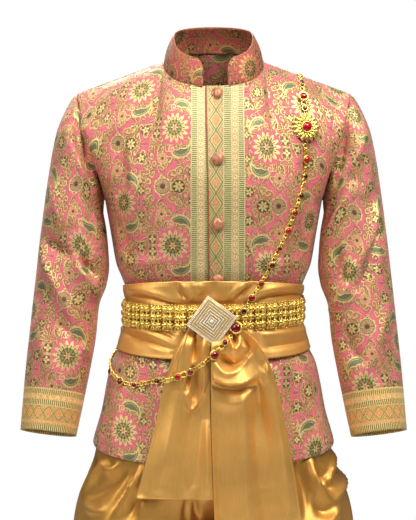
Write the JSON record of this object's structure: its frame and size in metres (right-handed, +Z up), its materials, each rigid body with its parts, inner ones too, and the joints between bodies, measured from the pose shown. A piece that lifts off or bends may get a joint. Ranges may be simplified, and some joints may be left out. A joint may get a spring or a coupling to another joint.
{
  "type": "chut thai outfit",
  "caption": "Worn Thai groom's outfit: stand-collar brocade jacket, tied satin sash, linked belt with square buckle, jewelled shoulder chain with brooch, and draped satin chong kraben.",
  "frame": {"origin": "midway between the neck ends of the two shoulder seams, where the wearer's shoulders carry the jacket", "axes": "+Z up, -Y out of the garment's front, +X towards the wearer's left"},
  "size_m": [0.648, 0.3117, 1.1253],
  "materials": {
    "brocade": "woven silk brocade, rose ground with gold, green and coral flowers",
    "covered_button": "ball buttons covered in copper-rose silk",
    "satin": "old-gold satin, glossy along its folds",
    "gilt": "bright gilt filigree, red stones in rubbed-over settings",
    "stone_set": "gilt plate covered in rows of small clear stones"
  },
  "bodies": {
    "root": {"jacket_front_left": "brocade", "jacket_front_right": "brocade", "jacket_back": "brocade", "sleeve_left": "brocade", "sleeve_right": "brocade", "collar": "brocade", "button_1": "covered_button", "button_2": "covered_button", "button_3": "covered_button", "button_4": "covered_button", "button_5": "covered_button", "sash_wrap": "satin", "sash_tail_right": "satin", "sash_tail_left": "satin", "kraben_left": "satin", "kraben_right": "satin", "belt": "gilt", "brooch": "gilt", "body_chain": "gilt", "buckle": "stone_set"}
  },
  "joints": []
}
